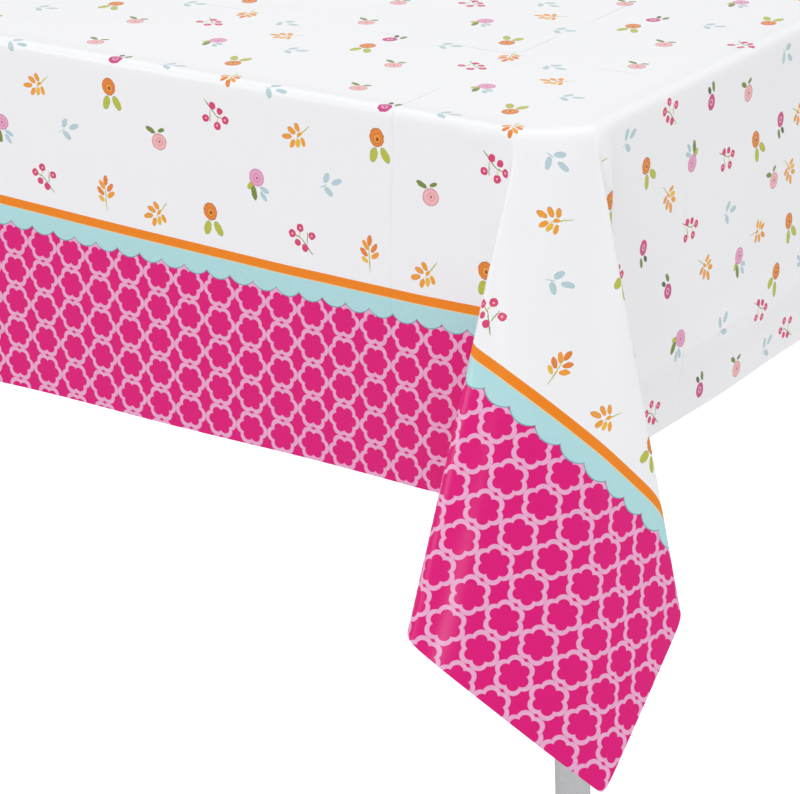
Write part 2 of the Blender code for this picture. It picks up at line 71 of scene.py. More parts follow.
# ---------------------------------------------------------------- how the cover folds
def corner_points():
    """The folded corner's points: (past the end edge, past the side edge) on the cover,
    then the place, then the print's own (past the end edge, past the side edge)."""
    side = np.array([HALF_LENGTH - FLAP_START_ON_SIDE, HALF_WIDTH, TOP])
    end = np.array([HALF_LENGTH, HALF_WIDTH - FLAP_START_ON_END, TOP])
    chord = (end - side) / np.linalg.norm(end - side)
    out = np.array([abs(chord[1]), abs(chord[0]), 0.0])
    slope = out * math.cos(FLAP_TILT) + np.array([0, 0, -math.sin(FLAP_TILT)])

    def on_flap(start, along, down):
        return start + chord * along + slope * down

    drop = np.array([0, 0, -1.0])
    places = {
        "side": ((-FLAP_START_ON_SIDE, 0.0), side, (-FLAP_START_ON_SIDE, 0.0)),
        "side_hem": (
            (-FLAP_START_ON_SIDE, SIDE_DROP), side + drop * SIDE_DROP, (-FLAP_START_ON_SIDE, SIDE_DROP)
        ),
        "side_fold": ((0.103, SIDE_DROP), on_flap(side, -0.0985, 0.3475), (0.106, 0.325)),
        "tip": ((END_DROP, SIDE_DROP), on_flap(side, 0.0403, 0.4690), (0.281, 0.331)),
        "end_fold": ((END_DROP, 0.158), on_flap(end, 0.0480, FLAP_REACH), (0.272, 0.188)),
        "end_hem": ((END_DROP, -FLAP_START_ON_END), end + drop * END_DROP, (END_DROP, -FLAP_START_ON_END)),
        "end": ((0.0, -FLAP_START_ON_END), end, (0.0, -FLAP_START_ON_END)),
    }
    return places, side, chord, slope


PLACES, FLAP_ORIGIN, CHORD, SLOPE = corner_points()
FLAP_NORMAL = np.cross(CHORD, SLOPE)
FLAP_NORMAL *= np.sign(FLAP_NORMAL[1])


def affine(names, turned=False):
    """The map from (p, q, 1) to place and print that takes each named point to its own."""
    rows = []
    for name in names:
        _, place, printed = PLACES[name]
        if turned and name == "end_fold":
            place = place + TURN_AWAY * TURN_REACH
        rows.append([*place, *printed])
    cover = np.array([[*PLACES[name][0], 1.0] for name in names])
    return np.linalg.solve(cover, np.array(rows))


RETURN_SIDE = affine(("side", "side_hem", "side_fold"))
FLAP_SIDE = affine(("side", "side_fold", "tip"))
FLAP_MIDDLE = affine(("side", "tip", "end"))
FLAP_END = affine(("end", "tip", "end_fold"))
RETURN_END = affine(("end", "end_fold", "end_hem"), turned=True)


def turn_from(a, b, p, q):
    """Positive where (p, q) lies past the line from a through b, towards the short end."""
    (ap, aq), (bp, bq) = PLACES[a][0], PLACES[b][0]
    return (p - ap) * (bq - aq) - (q - aq) * (bp - ap)


def fold(s, t):
    """Place and print of points of the cover, (s, t) from its middle. Returns an N x 5 array."""
    across, along = np.sign(s) + (s == 0), np.sign(t) + (t == 0)
    p, q = np.abs(s) - HALF_LENGTH, np.abs(t) - HALF_WIDTH
    flat = np.stack([p + HALF_LENGTH, q + HALF_WIDTH, np.full_like(p, TOP), p, q], 1)
    side = np.stack([p + HALF_LENGTH, np.full_like(p, HALF_WIDTH), TOP - q, p, q], 1)
    end = np.stack([np.full_like(p, HALF_LENGTH), q + HALF_WIDTH, TOP - p, p, q], 1)
    cover = np.stack([p, q, np.ones_like(p)], 1)
    past_chord = turn_from("side", "end", p, q) < 0
    by_side = past_chord & (p >= -FLAP_START_ON_SIDE)
    by_end = past_chord & (q >= -FLAP_START_ON_END)
    choices = [
        ((p < -FLAP_START_ON_SIDE) & (q > 0), side),
        ((q < -FLAP_START_ON_END) & (p > 0), end),
        (by_side & (turn_from("side", "side_fold", p, q) < 0), cover @ RETURN_SIDE),
        (by_end & (turn_from("end", "end_fold", p, q) > 0), cover @ RETURN_END),
        (past_chord & (turn_from("side", "tip", p, q) < 0), cover @ FLAP_SIDE),
        (past_chord & (turn_from("end", "tip", p, q) < 0), cover @ FLAP_MIDDLE),
        (past_chord, cover @ FLAP_END),
    ]
    found, left = flat.copy(), np.ones(len(p), bool)
    return_side, return_end = 2, 3  # their places in the list of choices
    for index, (where, values) in enumerate(choices):
        where = where & left
        left &= ~where
        if index > return_end:
            values = values + turned_away(values[:, :3])
        elif index == return_side:
            share = np.clip((p + FLAP_START_ON_SIDE) / np.maximum(q, 1e-4) / (0.147 / SIDE_DROP), 0, 1.3)
            back = share * roll_back(0.0, 1.215 * q)
            values = values + np.hstack([back[:, None] * TURN_AWAY, np.zeros((len(p), 2))])
        found[where] = values[where]
    found[:, 0] *= across
    found[:, 1] *= along
    found[:, 3] = (found[:, 3] + HALF_LENGTH) * across
    found[:, 4] = (found[:, 4] + HALF_WIDTH) * along
    return found


def roll_back(inside, v):
    """How far the flap falls back within the roll along its long-side fold, inside metres from it."""
    width = ROLL_WIDTH * np.clip(v / 0.16, 0, 1)
    return np.clip(width - inside, 0, 1.2 * ROLL_WIDTH) ** 2 / (2 * ROLL_RADIUS)


def turned_away(place):
    """How far a point of the flap falls back, at its rolled edge and as its slack half curves away."""
    u, v = (place - FLAP_ORIGIN) @ CHORD, (place - FLAP_ORIGIN) @ SLOPE
    share = (u + 0.2816 * v) / np.maximum(0.0575 + 0.4066 * v, 0.02)
    bend = np.clip((share - 0.42) / 0.58, 0, 1.4) ** 2
    back = TURN_REACH * bend * np.clip(v, 0, 1) / FLAP_REACH + roll_back(0.9621 * u + 0.2727 * v, v)
    away = back[:, None] * TURN_AWAY
    return np.hstack([away, np.zeros((len(away), 2))])


def softened(s, t, roll=0.0065):
    """fold(), averaged over a small disc so that every fold is a roll and not a knife edge.

    roll is how much wider the disc gets down the flap. The print is averaged more widely than
    the shape, so that its rows curve over the folds without a kink.
    """
    p, q = np.abs(s) - HALF_LENGTH, np.abs(t) - HALF_WIDTH
    near = np.clip((p + 0.06) / 0.08, 0, 1) * np.clip((q + 0.06) / 0.08, 0, 1)
    down = np.clip(np.hypot(np.maximum(p, 0), np.maximum(q, 0)) / 0.30, 0, 1)
    radius = EDGE_ROLL - 0.0018 * near + near * roll * down
    total, weights = 0, 0
    for ring, count in ((0.0, 1), (0.36, 6), (0.68, 12), (1.0, 16)):  # a ring's size and its points
        for k in range(count):
            turn = 2 * math.pi * (k + 0.5 * ring) / count
            weight = 1.3 - ring
            total = total + weight * fold(
                s + radius * ring * math.cos(turn), t + radius * ring * math.sin(turn)
            )
            weights += weight
    return total / weights


def ridge(distance, width):
    """1 at no distance, fading on both sides over width."""
    return np.exp(-((distance / width) ** 2))


def relief(s, t, place):
    """Small outward displacements: slack waves in the hanging sides and creases in the flap."""
    p, q = np.abs(s) - HALF_LENGTH, np.abs(t) - HALF_WIDTH
    lift = np.zeros((len(s), 3))
    lift[:, 2] += EDGE_LIFT * (ridge(p, 0.012) * (q < 0.01) + ridge(q, 0.012) * (p < 0.01))

    # Slack waves, growing down each hanging side and fading towards the flap, and the one pressed line
    # that still stands out.
    side = np.clip(q / 0.06, 0, 1) * np.clip((-FLAP_START_ON_SIDE - p) / 0.08, 0, 1)
    end = np.clip(p / 0.06, 0, 1) * np.clip((-FLAP_START_ON_END - q) / 0.08, 0, 1)
    wave_side = 0.0030 * np.sin(s * 9.1 + 0.7) + 0.0020 * np.sin(s * 21.7 + t * 6 + 2.0)
    wave_side -= 0.030 * np.clip(0.03 - np.abs(s - FOLD_LINES[0]), 0, 1)
    wave_end = 0.0035 * ridge(p - 0.212, 0.016) - 0.0030 * ridge(p - 0.060, 0.020)
    wave_end += 0.0032 * np.sin(t * 10.3 + 1.1) + 0.0020 * np.sin(t * 23.9 + s * 5 + 0.4)
    lift[:, 1] += np.sign(t) * side * (0.004 + wave_side) * np.clip(q / SIDE_DROP, 0, 1)
    lift[:, 0] += np.sign(s) * end * (0.004 + wave_end) * np.clip(p / END_DROP, 0, 1)

    # Puckers fanning out from the flap's start on the long side, and a pleat by its start on the end.
    from_side = np.hypot(p + 0.050, q - 0.004)
    fan = np.sin(9 * np.arctan2(q - 0.004, p + 0.050) + 1.0)
    pucker = ridge(from_side - 0.016, 0.014) * (p < -0.045) * np.clip(q / 0.01, 0, 1)
    lift[:, 1] += np.sign(t) * 0.0022 * fan * pucker
    pleat = ridge(q + 0.048, 0.009) * np.clip(p / 0.03, 0, 1) * np.clip((0.26 - p) / 0.16, 0, 1)
    lift[:, 0] += np.sign(s) * 0.0075 * pleat

    # Creases in the flap, along its own normal.
    corner = place.copy()
    corner[:, 0], corner[:, 1] = np.abs(place[:, 0]), np.abs(place[:, 1])
    u, v = (corner - FLAP_ORIGIN) @ CHORD, (corner - FLAP_ORIGIN) @ SLOPE
    off = np.abs((corner - FLAP_ORIGIN) @ FLAP_NORMAL)
    flap = ridge(off, 0.02) * np.clip(v / 0.05, 0, 1) * (np.maximum(p, q) > 0)
    crease = 0.0011 * ridge(u - 0.004 + 0.17 * (v - 0.16), 0.006)
    crease += 0.0009 * ridge(u + 0.024 + 0.19 * (v - 0.20), 0.005)
    crease += 0.0025 * ridge(u - 0.03 - 0.20 * v, 0.030) * np.clip(v / 0.3, 0, 1)
    normal = FLAP_NORMAL * np.stack([np.sign(s), np.sign(t), np.ones_like(s)], 1)
    return lift + (flap * crease)[:, None] * normal


def steps(reach, half):
    """Positions across the cover: fine near the table's rim and beyond it, coarse in the middle."""
    rim = half - 0.095
    fine = np.linspace(rim, reach, round((reach - rim) / FINE) + 1)
    middle = np.linspace(-rim, rim, round(2 * rim / COARSE) + 1)
    return np.concatenate([-fine[::-1], middle[1:-1], fine])


def make_cover():
    """The folded sheet, with the cover's own two coordinates at each of its points."""
    s, t = steps(FLAT_LENGTH / 2, HALF_LENGTH), steps(FLAT_WIDTH / 2, HALF_WIDTH)
    across, along = (grid.ravel() for grid in np.meshgrid(s, t, indexing="ij"))
    shaped = softened(across, along)
    shaped[:, 3:] = softened(across, along, 0.045)[:, 3:]
    place = shaped[:, :3] + relief(across, along, shaped[:, :3])
    rows, columns = len(s), len(t)
    corner = np.arange(rows * columns).reshape(rows, columns)
    faces = np.stack([corner[:-1, :-1], corner[1:, :-1], corner[1:, 1:], corner[:-1, 1:]], -1)
    mesh = bpy.data.meshes.new("printed_cover")
    mesh.from_pydata(place.tolist(), [], faces.reshape(-1, 4).tolist())
    # The stripe runs slightly askew on the front side.
    drift = np.clip(0.0306 * (across - 0.56), -0.010, 0) * (along < 0)
    shaped[:, 4] += drift * np.clip((np.abs(along) - HALF_WIDTH) / 0.10, 0, 1)
    layer = mesh.uv_layers.new(name="print")
    index = np.empty(len(mesh.loops), np.int32)
    mesh.loops.foreach_get("vertex_index", index)
    layer.data.foreach_set("uv", shaped[index, 3:].astype(np.float32).ravel())
    mesh.polygons.foreach_set("use_smooth", [True] * len(mesh.polygons))
    cover = bpy.data.objects.new("printed_cover", mesh)
    bpy.context.scene.collection.objects.link(cover)
    return cover, across, along


def applied(obj):
    """Turns what the modifiers make into the object's own mesh."""
    graph = bpy.context.evaluated_depsgraph_get()
    mesh = bpy.data.meshes.new_from_object(obj.evaluated_get(graph), depsgraph=graph)
    obj.modifiers.clear()
    old, obj.data = obj.data, mesh
    bpy.data.meshes.remove(old)
    mesh.name = obj.name


def settle(cover, across, along):
    """Lets the hanging film sag a little under its own weight. Every point stays within a few millimetres."""
    p, q = np.abs(across) - HALF_LENGTH, np.abs(along) - HALF_WIDTH
    hang = np.clip((np.maximum(p, q) - 0.012) / 0.10, 0, 1)
    flap = np.clip((p + 0.05) / 0.05, 0, 1) * np.clip((q + 0.05) / 0.05, 0, 1)
    hold = 1 - hang * (0.62 - 0.30 * flap)
    group = cover.vertex_groups.new(name="held")
    finest = 40  # levels of hold
    levels = np.round(hold * finest).astype(int)
    for level in np.unique(levels):
        group.add(np.flatnonzero(levels == level).tolist(), float(level) / finest, "REPLACE")
    cloth = cover.modifiers.new("settle", "CLOTH")
    settings = cloth.settings
    settings.quality, settings.mass = 5, 0.08
    settings.tension_stiffness = settings.compression_stiffness = 18
    settings.shear_stiffness, settings.bending_stiffness = 12, 4.0
    settings.vertex_group_mass, settings.pin_stiffness = "held", 0.6
    cloth.collision_settings.use_collision = False
    cloth.point_cache.frame_start, cloth.point_cache.frame_end = 1, SETTLE_FRAMES
    start = np.array([v.co for v in cover.data.vertices])
    for number in range(1, SETTLE_FRAMES + 1):
        bpy.context.scene.frame_set(number)
    applied(cover)
    cover.vertex_groups.clear()
    ended = np.array([v.co for v in cover.data.vertices])
    moved = ended - start
    length = np.linalg.norm(moved, axis=1, keepdims=True)
    moved *= np.minimum(1, SETTLE_LIMIT / np.maximum(length, 1e-9))
    cover.data.vertices.foreach_set("co", (start + moved).ravel())
    bpy.context.scene.frame_set(1)


cover, across, along = make_cover()
settle(cover, across, along)
finer = cover.modifiers.new("finer", "SUBSURF")
finer.levels = finer.render_levels = 1
applied(cover)


# ---------------------------------------------------------------- material helpers
def colour(red, green, blue):
    """An 8-bit display colour as the renderer's linear one."""
    channels = [c / 255 for c in (red, green, blue)]
    return (*(c / 12.92 if c < 0.04045 else ((c + 0.055) / 1.055) ** 2.4 for c in channels), 1.0)


class Net:
    """Builds a node tree. Every input takes a socket, a number, a vector or a colour."""

    def __init__(self, tree):
        self.tree = tree

    def add(self, kind, *values, **settings):
        node = self.tree.nodes.new(kind)
        for key, value in settings.items():
            setattr(node, key, value)
        for socket, value in zip(node.inputs, values):
            self.feed(socket, value)
        return node

    def feed(self, socket, value):
        if isinstance(value, bpy.types.NodeSocket):
            self.tree.links.new(value, socket)
        elif value is not None:
            socket.default_value = value

    def math(self, operation, *values):
        return self.add("ShaderNodeMath", *values, operation=operation).outputs[0]

    def from_nearest(self, value):
        """How far value lies from its nearest whole number, -0.5 to 0.5."""
        return self.math("SUBTRACT", self.math("FRACT", self.math("ADD", value, 0.5)), 0.5)

    def length(self, x, y):
        squares = self.math("ADD", self.math("MULTIPLY", x, x), self.math("MULTIPLY", y, y))
        return self.math("SQRT", squares)

    def step(self, value, low, high):
        """0 at low and 1 at high, smoothly."""
        return self.add(
            "ShaderNodeMapRange", value, low, high, 0.0, 1.0, interpolation_type="SMOOTHSTEP"
        ).outputs[0]

    def mix(self, share, first, second):
        node = self.add("ShaderNodeMix", data_type="RGBA")
        self.feed(node.inputs[0], share)
        self.feed(node.inputs[6], first)
        self.feed(node.inputs[7], second)
        return node.outputs[2]

    def blend(self, share, first, second):
        node = self.add("ShaderNodeMix", share, None, first, second, data_type="FLOAT")
        return node.outputs[0]

    def noise(self, vector, scale, detail=2.0, roughness=0.5):
        node = self.add("ShaderNodeTexNoise", vector)
        node.inputs["Scale"].default_value = scale
        node.inputs["Detail"].default_value = detail
        node.inputs["Roughness"].default_value = roughness
        return node.outputs[0]

    def ramp(self, value, stops, interpolation="LINEAR"):
        """Colour and alpha of a colour ramp, from (position, colour with alpha) pairs."""
        node = self.add("ShaderNodeValToRGB", value)
        elements = node.color_ramp.elements
        node.color_ramp.interpolation = interpolation
        elements.remove(elements[1])
        for number, (position, rgba) in enumerate(stops):
            element = elements[0] if number == 0 else elements.new(position)
            element.position, element.color = position, rgba
        return node.outputs[0], node.outputs[1]


def material(name):
    """An empty material with a shader at its output. Returns the material, its Net and the shader."""
    made = bpy.data.materials.new(name)
    made.use_nodes = True
    made.node_tree.nodes.clear()
    net = Net(made.node_tree)
    shader = net.add("ShaderNodeBsdfPrincipled")
    output = net.add("ShaderNodeOutputMaterial")
    net.feed(output.inputs["Surface"], shader.outputs[0])
    return made, net, shader


# ---------------------------------------------------------------- the sprigs of the print
ORANGE, AMBER, YELLOW = colour(240, 128, 14), colour(246, 158, 20), colour(240, 190, 36)
LIME, LEAF, DARK_LEAF = colour(188, 194, 48), colour(112, 138, 38), colour(60, 88, 40)
PINK, ROSE, BLUSH = colour(222, 44, 108), colour(204, 70, 116), colour(247, 186, 188)
MAGENTA, LILAC, SKY = colour(206, 56, 138), colour(236, 166, 204), colour(184, 212, 220)
BRICK, STEM = colour(150, 52, 22), colour(140, 150, 46)

# Each spot: middle x, y, half-sizes, turn in degrees, colour, rim colour. In millimetres, y towards the table.
SPRIGS = {
    "leafy": [
        (5.5, 3.4, 8.6, 0.45, 43, LIME, STEM), (0.5, 6.4, 3.4, 2.0, 118, AMBER, BRICK),
        (-4.3, 3.4, 3.8, 2.1, 150, AMBER, BRICK), (-8.4, -1.6, 4.2, 2.1, -172, AMBER, BRICK),
        (-3.4, -6.2, 3.6, 2.0, 62, AMBER, ORANGE), (1.4, -5.4, 3.4, 1.9, 84, YELLOW, ORANGE),
        (5.8, -3.8, 3.6, 1.8, 108, AMBER, YELLOW), (2.4, 1.2, 2.4, 1.4, 40, AMBER, ORANGE),
    ],
    "orange_rose": [
        (-5.0, -7.2, 3.1, 5.6, -14, LIME, LEAF), (4.8, -6.4, 3.0, 6.0, 32, LIME, LEAF),
        (-2.6, 5.8, 6.0, 6.8, 10, ORANGE, BRICK), (-2.2, 5.2, 3.2, 3.4, 0, AMBER, BRICK),
        (-2.0, 4.9, 1.2, 1.4, 0, BRICK, BRICK),
    ],
    "berries": [
        (-4.4, 4.6, 8.4, 0.5, -46, STEM, LEAF), (-5.0, -1.6, 5.0, 0.4, 88, STEM, LEAF),
        (1.6, -4.6, 4.4, 0.4, 80, YELLOW, STEM), (4.6, -2.0, 4.6, 0.4, -18, STEM, LEAF),
        (-2.9, 6.4, 2.9, 2.9, 0, PINK, MAGENTA), (3.7, 3.3, 2.7, 2.7, 0, PINK, MAGENTA),
        (8.6, -2.9, 3.1, 3.1, 0, PINK, MAGENTA), (1.5, -8.4, 3.1, 3.1, 0, PINK, MAGENTA),
        (-9.0, -4.0, 3.0, 3.0, 0, PINK, MAGENTA), (8.4, -2.8, 0.9, 0.9, 0, BLUSH, PINK),
        (1.3, -8.2, 0.9, 0.9, 0, BLUSH, PINK), (-8.8, -3.9, 0.9, 0.9, 0, BLUSH, PINK),
    ],
    "blue_leaves": [
        (-2.8, 4.6, 2.3, 4.2, -24, SKY, colour(150, 186, 198)),
        (6.2, 3.0, 4.8, 2.2, 26, SKY, colour(160, 192, 204)),
        (-0.8, -5.4, 4.4, 2.3, -38, SKY, colour(146, 182, 196)),
        (-5.4, -2.0, 3.6, 0.4, 28, SKY, SKY),
    ],
    "pale_rose": [
        (-6.2, 6.8, 4.6, 2.0, -24, LEAF, DARK_LEAF), (3.6, 8.0, 3.2, 1.6, 26, LEAF, DARK_LEAF),
        (1.6, -1.4, 6.6, 6.4, 10, BLUSH, ROSE), (1.9, -1.2, 3.0, 2.8, 0, BLUSH, ROSE),
        (2.0, -1.2, 0.9, 0.9, 0, BRICK, BRICK),
    ],
    "lilac_rose": [
        (-3.4, -8.2, 2.4, 5.8, 12, LEAF, DARK_LEAF), (-6.8, -3.4, 2.0, 3.4, -30, LIME, LEAF),
        (6.0, -4.6, 4.0, 1.9, -22, SKY, colour(140, 176, 192)),
        (5.0, -9.6, 4.2, 1.8, -50, SKY, colour(140, 176, 192)),
        (-1.0, 3.8, 6.4, 6.6, 0, LILAC, MAGENTA), (-0.8, 3.6, 3.0, 3.2, 0, LILAC, MAGENTA),
        (-0.7, 3.5, 0.9, 0.9, 0, MAGENTA, MAGENTA),
    ],
    "upright": [
        (0.0, -4.0, 0.45, 10.5, 4, LIME, STEM), (0.0, 10.0, 2.0, 4.2, -4, ORANGE, BRICK),
        (-3.6, 6.0, 1.9, 4.0, 34, AMBER, ORANGE), (4.0, 4.8, 1.9, 4.0, -36, ORANGE, BRICK),
        (-4.8, 0.4, 2.0, 4.0, 48, ORANGE, BRICK), (5.0, -0.6, 2.0, 4.0, -50, AMBER, ORANGE),
        (-4.0, -5.2, 1.7, 3.2, 56, YELLOW, ORANGE),
    ],
    "magenta_rose": [
        (-2.6, -7.4, 2.0, 4.2, 16, LEAF, DARK_LEAF), (3.6, -5.8, 1.9, 3.4, 40, DARK_LEAF, DARK_LEAF),
        (0.0, 3.6, 5.4, 6.0, 0, MAGENTA, PINK), (0.2, 3.4, 2.6, 2.8, 0, LILAC, MAGENTA),
        (0.3, 3.3, 1.1, 1.1, 0, BRICK, MAGENTA),
    ],
}
KINDS = list(SPRIGS)


def sprig_group(name):
    """A node group: local millimetres in, the sprig's colour and its cover out."""
    tree = bpy.data.node_groups.new(name, "ShaderNodeTree")
    tree.interface.new_socket("Place", in_out="INPUT", socket_type="NodeSocketVector")
    tree.interface.new_socket("Colour", in_out="OUTPUT", socket_type="NodeSocketColor")
    tree.interface.new_socket("Cover", in_out="OUTPUT", socket_type="NodeSocketFloat")
    net = Net(tree)
    place = net.add("NodeGroupInput").outputs[0]
    painted, covered = SPRIGS[name][0][5], 0.0
    for x, y, wide, tall, turn, body, rim in SPRIGS[name]:
        mapping = net.add("ShaderNodeMapping", place, vector_type="TEXTURE")
        mapping.inputs["Location"].default_value = (x, y, 0)
        mapping.inputs["Rotation"].default_value = (0, 0, math.radians(turn))
        mapping.inputs["Scale"].default_value = (wide * 1.04, tall * 1.04, 1)
        length = net.add("ShaderNodeVectorMath", mapping.outputs[0], operation="LENGTH")
        distance = length.outputs["Value"]
        inside = net.step(distance, 1.08, 0.92)
        tint = net.mix(net.math("MULTIPLY", net.step(distance, 0.80, 0.98), 0.85), body, rim)
        painted = net.mix(inside, painted, tint)
        covered = net.math("MAXIMUM", covered, inside)
    out = net.add("NodeGroupOutput")
    net.feed(out.inputs[0], painted)
    net.feed(out.inputs[1], covered)
    return tree


# Where the sprigs stand in one repeat of the print: along it and up its band, in millimetres, then kind
# and turn in degrees.
REPEAT = 240.0
BAND = 80.0
BAND_START = 92.0  # the lowest full band ends here below the edge, and one shorter band lies under it
STRIPE_ROW_FOOT = 134.0  # that shorter band's foot
REPEAT_START = 282.0  # of the first repeat, along the cover from its middle
BAND_SHIFT = 97.0  # of each further pair of bands along the cover
ROW_BY_STRIPE = [
    (57, 24, "berries", 180), (117, 24, "upright", 0), (165, 17, "leafy", -10), (217, 23, "orange_rose", 0),
]
ROW_NEAR = [
    (18, 18, "lilac_rose", 0), (53, 60, "leafy", 0), (82, 28, "blue_leaves", 0),
    (125, 64, "orange_rose", 0), (167, 35, "pale_rose", 0), (221, 64, "berries", 0),
]
ROW_FAR = [
    (32, 12, "blue_leaves", 30), (82, 49, "pale_rose", 0), (128, 18, "magenta_rose", 200),
    (174, 22, "blue_leaves", 0), (205, 60, "orange_rose", 180), (230, 20, "upright", 170),
]


# The hanging ends have sprigs of their own: each band's start below the edge, then its sprigs' places
# along the end and down it.
END_REPEAT = 400.0
END_BANDS = [
    (0.0, [(30, 22, "leafy", 40), (84, 20, "blue_leaves", 0), (147, 16, "berries", 180),
           (213, 20, "magenta_rose", 180), (273, 30, "pale_rose", 0), (340, 16, "blue_leaves", 60)]),
    (38.0, [(48, 60, "orange_rose", 30), (117, 51, "orange_rose", -20), (151, 81, "leafy", 265),
            (185, 60, "lilac_rose", 180), (242, 73, "berries", -20), (294, 76, "orange_rose", -20),
            (333, 70, "magenta_rose", 0), (366, 70, "leafy", 250)]),
    (96.0, [(70, 116, "berries", 0), (112, 112, "magenta_rose", 0), (185, 113, "berries", -20),
            (246, 118, "blue_leaves", 20), (321, 112, "pale_rose", -10), (351, 112, "leafy", 265)]),
    (132.0, [(60, 158, "blue_leaves", 0), (152, 151, "magenta_rose", 160), (211, 152, "leafy", 255),
             (266, 162, "lilac_rose", 0), (298, 148, "leafy", 220), (357, 160, "orange_rose", -10)]),
    (182.0, [(80, 200, "leafy", 200), (170, 200, "lilac_rose", 60), (237, 206, "blue_leaves", -20),
             (302, 212, "berries", -10), (329, 196, "orange_rose", 50), (380, 200, "lilac_rose", 170)]),
    (230.0, [(134, 246, "berries", 180), (206, 246, "magenta_rose", 180), (265, 250, "pale_rose", 10),
             (320, 250, "blue_leaves", -10), (354, 246, "berries", 170)]),
]


def row_lookup(net, along, row, repeat=REPEAT, band=BAND):
    """The nearest sprig's middle, kind and turn, packed into a colour ramp with sharp stops."""
    stops = []
    for number, (middle, up, kind, turn) in enumerate(row):
        start = 0.0 if number == 0 else (row[number - 1][0] + middle) / 2 / repeat
        packed = (middle / repeat, up / band, (KINDS.index(kind) + 0.5) / len(KINDS), (turn % 360) / 360)
        stops.append((start, packed))
    return net.ramp(along, stops, "CONSTANT")


def end_lookup(net, along, down):
    """The sprigs of the hanging ends, chosen by the band that down, in millimetres, falls in."""
    packed, turn = None, None
    for start, row in END_BANDS:
        found, found_turn = row_lookup(net, along, row, END_REPEAT, END_REPEAT)
        if packed is None:
            packed, turn = found, found_turn
        else:
            past = net.math("GREATER_THAN", down, start)
            packed, turn = net.mix(past, packed, found), net.blend(past, turn, found_turn)
    return packed, turn


def sprigs(net, x, q, wobble):
    """Scatters the sprigs. x runs along the cover and q down it, in millimetres. Returns colour and cover."""
    down_end = net.math("SUBTRACT", net.math("ABSOLUTE", x), HALF_LENGTH * 1000)
    width, corner = HALF_WIDTH * 2000, FLAP_START_ON_END * 1000
    between = net.math(
        "MULTIPLY", net.math("LESS_THAN", q, -corner), net.math("GREATER_THAN", q, corner - width)
    )
    on_end = net.math("MULTIPLY", net.math("GREATER_THAN", down_end, 0.0), between)

    # The repeat of the sides and the top.
    by_stripe = net.math("GREATER_THAN", q, BAND_START)
    climb = net.math("SUBTRACT", BAND_START, q)
    band = net.math("FLOOR", net.math("DIVIDE", climb, BAND))
    up_band = net.math("SUBTRACT", climb, net.math("MULTIPLY", band, BAND))
    up = net.blend(by_stripe, up_band, net.math("SUBTRACT", STRIPE_ROW_FOOT, q))
    even_number = 40.0  # more than the bands, so that the sum is never negative
    odd = net.math("MODULO", net.math("ADD", band, even_number), 2.0)
    pair = net.math("FLOOR", net.math("DIVIDE", band, 2.0))
    shift = net.math("MULTIPLY", net.math("MAXIMUM", pair, 0.0), BAND_SHIFT)
    started = net.math("ADD", net.math("SUBTRACT", x, REPEAT_START), shift)
    part = net.math("FRACT", net.math("DIVIDE", started, REPEAT))
    near, near_turn = row_lookup(net, part, ROW_NEAR)
    far, far_turn = row_lookup(net, part, ROW_FAR)
    low, low_turn = row_lookup(net, part, ROW_BY_STRIPE)
    packed = net.mix(by_stripe, net.mix(odd, near, far), low)
    turn = net.blend(by_stripe, net.blend(odd, near_turn, far_turn), low_turn)

    # The hanging ends' own bands, and the distance from the chosen sprig's middle in either.
    end_part = net.math("FRACT", net.math("DIVIDE", net.math("MULTIPLY", q, -1.0), END_REPEAT))
    end_packed, end_turn = end_lookup(net, end_part, down_end)
    packed, turn = net.mix(on_end, packed, end_packed), net.blend(on_end, turn, end_turn)
    split = net.add("ShaderNodeSeparateColor", packed).outputs
    dx = net.math("MULTIPLY", net.math("SUBTRACT", part, split[0]), REPEAT)
    dy = net.math("SUBTRACT", up, net.math("MULTIPLY", split[1], BAND))
    middle = net.math("SUBTRACT", net.math("ABSOLUTE", net.math("SUBTRACT", x, dx)), HALF_LENGTH * 1000)
    longest = 13.0  # from a sprig's middle: one nearer the edge than this would be cut by it
    cut = net.math("MULTIPLY", net.math("LESS_THAN", net.math("ABSOLUTE", middle), longest), between)
    kept = net.math("SUBTRACT", 1.0, net.math("MULTIPLY", cut, net.math("SUBTRACT", 1.0, on_end)))
    end_dx = net.math("MULTIPLY", net.math("SUBTRACT", end_part, split[0]), END_REPEAT)
    end_dy = net.math("SUBTRACT", net.math("MULTIPLY", split[1], END_REPEAT), down_end)
    dx, dy = net.blend(on_end, dx, end_dx), net.blend(on_end, dy, end_dy)

    # Every kind's group sees the same local coordinates, and only the chosen one shows.
    local = net.add("ShaderNodeCombineXYZ", dx, dy, 0.0).outputs[0]
    local = net.add("ShaderNodeVectorMath", local, wobble, operation="ADD").outputs[0]
    rotate = net.add("ShaderNodeVectorRotate", local, rotation_type="Z_AXIS")
    net.feed(rotate.inputs["Angle"], net.math("MULTIPLY", turn, 2 * math.pi))
    painted, covered = colour(255, 255, 255), 0.0
    for number, kind in enumerate(KINDS):
        group = net.add("ShaderNodeGroup", node_tree=sprig_group(kind))
        net.feed(group.inputs[0], rotate.outputs[0])
        kind_value = (number + 0.5) / len(KINDS)
        chosen = net.math("COMPARE", split[2], kind_value, 0.4 / len(KINDS))
        shown = net.math("MULTIPLY", chosen, group.outputs[1])
        painted = net.mix(shown, painted, group.outputs[0])
        covered = net.math("MAXIMUM", covered, shown)
    return painted, net.math("MULTIPLY", covered, kept)


